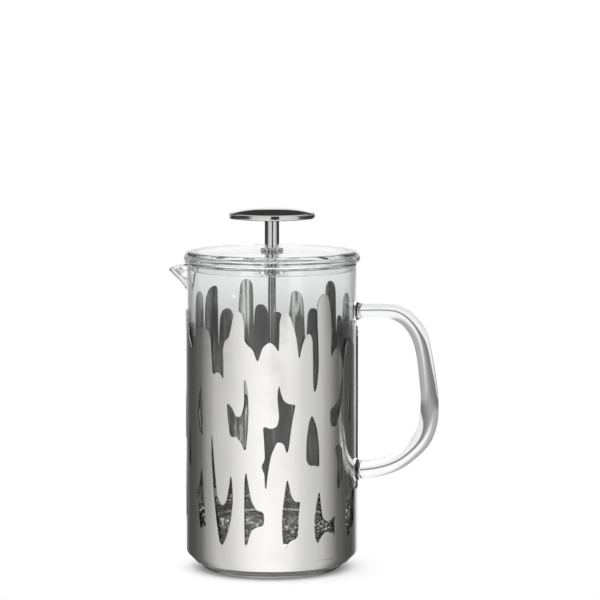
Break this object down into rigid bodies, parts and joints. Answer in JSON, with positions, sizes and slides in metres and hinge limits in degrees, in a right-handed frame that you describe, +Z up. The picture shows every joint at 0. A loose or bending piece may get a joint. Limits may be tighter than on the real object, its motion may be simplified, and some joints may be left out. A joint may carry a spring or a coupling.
{
  "type": "french press",
  "caption": "Cylindrical glass coffee press in a pierced polished steel sleeve, with a looped glass handle, clear lid and steel plunger with mesh filter.",
  "frame": {"origin": "centre of the glass beaker's flat underside, on the beaker's axis", "axes": "+Z up along the beaker and plunger axis, +X towards the handle, -X towards the pouring lip"},
  "size_m": [0.1665, 0.107, 0.2197],
  "materials": {
    "sleeve_steel": "mirror-polished stainless sheet",
    "clear_glass": "clear borosilicate glass",
    "handle_glass": "clear solid glass bar",
    "clear_lid": "clear polished plastic",
    "clear_guide": "clear polished plastic",
    "knob_steel": "mirror-polished stainless steel",
    "rod_steel": "polished stainless rod",
    "filter_steel": "satin stainless sheet",
    "spring_steel": "bright drawn wire",
    "mesh_steel": "fine woven wire"
  },
  "bodies": {
    "sleeve": {"sleeve": "sleeve_steel"},
    "beaker": {"glass_beaker": "clear_glass", "glass_handle": "handle_glass"},
    "guide": {"rod_bushing": "clear_guide", "bushing_nut": "clear_guide"},
    "lid": {"lid": "clear_lid"},
    "plunger": {"plunger_rod": "rod_steel", "filter_collar": "filter_steel", "spreader_plate": "filter_steel", "coil_spring": "spring_steel", "filter_mesh": "mesh_steel", "cross_plate": "filter_steel", "hub_nut": "filter_steel"},
    "knob": {"knob": "knob_steel", "knob_stem": "knob_steel"}
  },
  "joints": [
    {"name": "beaker_lift", "type": "slide", "parent": "sleeve", "child": "beaker", "axis": [0, 0, 1], "range_m": [0, 0.19]},
    {"name": "lid_lift", "type": "slide", "parent": "beaker", "child": "guide", "axis": [0, 0, 1], "range_m": [0, 0.19]},
    {"name": "lid_turn", "type": "hinge", "parent": "guide", "child": "lid", "pos_m": [0, 0, 0.19], "axis": [0, 0, 1], "continuous": true},
    {"name": "plunger_slide", "type": "slide", "parent": "guide", "child": "plunger", "axis": [0, 0, 1], "range_m": [0, 0.14]},
    {"name": "knob_turn", "type": "hinge", "parent": "plunger", "child": "knob", "pos_m": [0, 0, 0.2], "axis": [0, 0, 1], "continuous": true}
  ]
}
